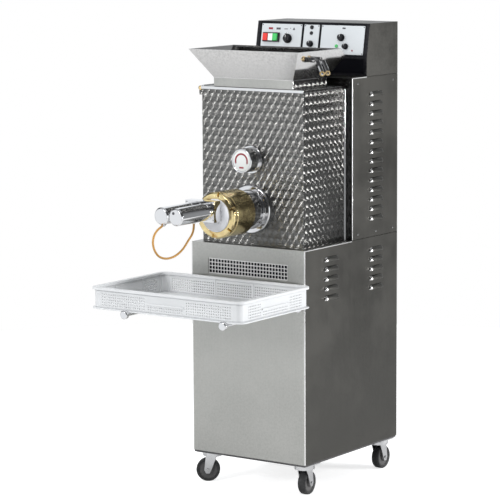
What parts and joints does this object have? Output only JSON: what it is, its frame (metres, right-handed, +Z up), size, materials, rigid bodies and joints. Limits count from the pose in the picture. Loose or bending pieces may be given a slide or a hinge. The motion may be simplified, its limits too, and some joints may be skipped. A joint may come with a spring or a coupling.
{
  "type": "pasta machine",
  "caption": "Free-standing pasta machine on casters: mixing tank under a flared hopper, extrusion nose with ring nut, motorised cutter, tray on rods and leaning console.",
  "frame": {"origin": "on the floor under the middle of the whole outline, tray and rods included", "axes": "+X to the right seen from the front, +Y to the back, +Z up"},
  "size_m": [0.6, 1.009, 1.534],
  "materials": {
    "panel_steel": "satin",
    "turned_steel": "engine turned",
    "dark_frame": "satin",
    "plate_aluminium": "anodised",
    "black_plastic": "matte",
    "fan_plastic": "matte",
    "red_plastic": "gloss",
    "green_plastic": "gloss",
    "lamp_white": "gloss",
    "brass": "polished",
    "polished_steel": "polished",
    "die_plastic": "satin",
    "gear_iron": "machined",
    "motor_paint": "semi-gloss",
    "cable_skin": "matte",
    "tray_plastic": "satin",
    "fork_chrome": "plated",
    "wheel_rubber": "matte"
  },
  "bodies": {
    "cabinet": {"base_frame": "dark_frame", "lower_front_panel": "panel_steel", "lower_side_panel_left": "panel_steel", "lower_side_panel_right": "panel_steel", "back_panel": "panel_steel", "deck_plate": "panel_steel", "rear_side_panel_left": "panel_steel", "rear_side_panel_right": "panel_steel", "rear_bulkhead": "dark_frame", "rear_top_plate": "panel_steel", "fan_grille": "panel_steel", "fan_housing": "dark_frame", "console_shell": "panel_steel", "console_backing": "black_plastic", "console_plate_left": "plate_aluminium", "console_plate_middle": "plate_aluminium", "console_plate_right": "plate_aluminium", "switch_block": "black_plastic", "power_lamp": "lamp_white", "fan_lamp": "green_plastic", "cutter_lamp": "black_plastic", "tank_housing": "turned_steel", "mixing_tank": "polished_steel", "gear_frame": "gear_iron", "drive_motor": "motor_paint", "barrel": "polished_steel", "die": "die_plastic", "cutter_carrier": "polished_steel", "cutter_motor": "polished_steel", "cutter_gearbox": "polished_steel", "cutter_cable": "cable_skin", "tray_rod_left": "polished_steel", "tray_rod_right": "polished_steel"},
    "lid": {"top_cover": "turned_steel", "cover_hinge_pin": "brass", "hopper": "panel_steel", "interlock_sensors": "polished_steel"},
    "screw": {"extrusion_screw": "polished_steel"},
    "mixer": {"mixer_shaft": "polished_steel", "mixer_gear": "gear_iron"},
    "pinion": {"motor_pinion": "gear_iron"},
    "mixer_handle": {"mixer_knob": "polished_steel"},
    "nut": {"ring_nut": "brass"},
    "blade": {"cutter_blade": "polished_steel"},
    "rotor": {"fan_rotor": "fan_plastic"},
    "stop": {"stop_button": "red_plastic"},
    "start": {"start_button": "green_plastic"},
    "selector": {"mode_selector": "black_plastic"},
    "cutter_dial": {"cutter_speed_dial": "black_plastic"},
    "timer": {"timer_dial": "black_plastic"},
    "fan_control": {"fan_dial": "black_plastic"},
    "dough_tray": {"tray": "tray_plastic"},
    "fork_front_left": {"caster_fork_front_left": "fork_chrome"},
    "fork_front_right": {"caster_fork_front_right": "fork_chrome"},
    "fork_rear_left": {"caster_fork_rear_left": "fork_chrome"},
    "fork_rear_right": {"caster_fork_rear_right": "fork_chrome"},
    "wheel_front_left": {"caster_wheel_front_left": "wheel_rubber"},
    "wheel_front_right": {"caster_wheel_front_right": "wheel_rubber"},
    "wheel_rear_left": {"caster_wheel_rear_left": "wheel_rubber"},
    "wheel_rear_right": {"caster_wheel_rear_right": "wheel_rubber"}
  },
  "joints": [
    {"name": "lid_hinge", "type": "hinge", "parent": "cabinet", "child": "lid", "pos_m": [-0.176, 0.085, 1.32842], "axis": [0, -1, 0], "range_deg": [0, 85]},
    {"name": "screw_spin", "type": "hinge", "parent": "cabinet", "child": "screw", "pos_m": [0.035, 0.1, 0.94], "axis": [0, 1, 0], "continuous": true},
    {"name": "mixer_spin", "type": "hinge", "parent": "cabinet", "child": "mixer", "pos_m": [0.035, 0.1, 1.1025], "axis": [0, 1, 0], "continuous": true},
    {"name": "pinion_spin", "type": "hinge", "parent": "cabinet", "child": "pinion", "pos_m": [0.1455, 0.24, 0.94], "axis": [0, 1, 0], "continuous": true},
    {"name": "mixer_release", "type": "hinge", "parent": "cabinet", "child": "mixer_handle", "pos_m": [0.035, -0.06, 1.1025], "axis": [0, 1, 0], "range_deg": [0, 90]},
    {"name": "nut_turn", "type": "hinge", "parent": "cabinet", "child": "nut", "pos_m": [0.035, -0.188, 0.94], "axis": [0, 1, 0], "range_deg": [0, 350]},
    {"name": "blade_spin", "type": "hinge", "parent": "cabinet", "child": "blade", "pos_m": [0.035, -0.25575, 0.94], "axis": [0, 1, 0], "continuous": true},
    {"name": "rotor_spin", "type": "hinge", "parent": "cabinet", "child": "rotor", "pos_m": [0.035, -0.01175, 0.744], "axis": [1, 0, 0], "continuous": true},
    {"name": "stop_press", "type": "slide", "parent": "cabinet", "child": "stop", "axis": [0, 0.9835, -0.1812], "range_m": [0, 0.003], "stiffness_N_per_m": 300, "springref_m": -0.001},
    {"name": "start_press", "type": "slide", "parent": "cabinet", "child": "start", "axis": [0, 0.9835, -0.1812], "range_m": [0, 0.003], "stiffness_N_per_m": 300, "springref_m": -0.001},
    {"name": "selector_turn", "type": "hinge", "parent": "cabinet", "child": "selector", "pos_m": [-0.06243, 0.31457, 1.47658], "axis": [0, 0.9835, -0.1812], "range_deg": [-60, 60]},
    {"name": "cutter_dial_turn", "type": "hinge", "parent": "cabinet", "child": "cutter_dial", "pos_m": [0.03107, 0.31176, 1.46131], "axis": [0, 0.9835, -0.1812], "range_deg": [-150, 150]},
    {"name": "timer_turn", "type": "hinge", "parent": "cabinet", "child": "timer", "pos_m": [0.15202, 0.31615, 1.48516], "axis": [0, 0.9835, -0.1812], "range_deg": [0, 300]},
    {"name": "fan_dial_turn", "type": "hinge", "parent": "cabinet", "child": "fan_control", "pos_m": [0.17173, 0.31088, 1.45654], "axis": [0, 0.9835, -0.1812], "range_deg": [-150, 150]},
    {"name": "tray_lift", "type": "slide", "parent": "cabinet", "child": "dough_tray", "axis": [0, 0, 1], "range_m": [0, 0.08]},
    {"name": "swivel_front_left", "type": "hinge", "parent": "cabinet", "child": "fork_front_left", "pos_m": [-0.151, -0.01585, 0.09], "axis": [0, 0, 1], "continuous": true},
    {"name": "swivel_front_right", "type": "hinge", "parent": "cabinet", "child": "fork_front_right", "pos_m": [0.221, -0.01585, 0.09], "axis": [0, 0, 1], "continuous": true},
    {"name": "swivel_rear_left", "type": "hinge", "parent": "cabinet", "child": "fork_rear_left", "pos_m": [-0.151, 0.44415, 0.09], "axis": [0, 0, 1], "continuous": true},
    {"name": "swivel_rear_right", "type": "hinge", "parent": "cabinet", "child": "fork_rear_right", "pos_m": [0.221, 0.44415, 0.09], "axis": [0, 0, 1], "continuous": true},
    {"name": "roll_front_left", "type": "hinge", "parent": "fork_front_left", "child": "wheel_front_left", "pos_m": [-0.16399, -0.02335, 0.03951], "axis": [0.5, -0.866, 0], "continuous": true},
    {"name": "roll_front_right", "type": "hinge", "parent": "fork_front_right", "child": "wheel_front_right", "pos_m": [0.21969, -0.00091, 0.03951], "axis": [-0.9962, -0.0872, 0], "continuous": true},
    {"name": "roll_rear_left", "type": "hinge", "parent": "fork_rear_left", "child": "wheel_rear_left", "pos_m": [-0.16399, 0.45165, 0.03951], "axis": [-0.5, -0.866, 0], "continuous": true},
    {"name": "roll_rear_right", "type": "hinge", "parent": "fork_rear_right", "child": "wheel_rear_right", "pos_m": [0.221, 0.45915, 0.03951], "axis": [-1, 0, 0], "continuous": true}
  ],
  "couplings": [
    {"joint": "mixer_spin", "follows": "screw_spin", "ratio": -0.85185},
    {"joint": "pinion_spin", "follows": "screw_spin", "ratio": -2.0909}
  ]
}
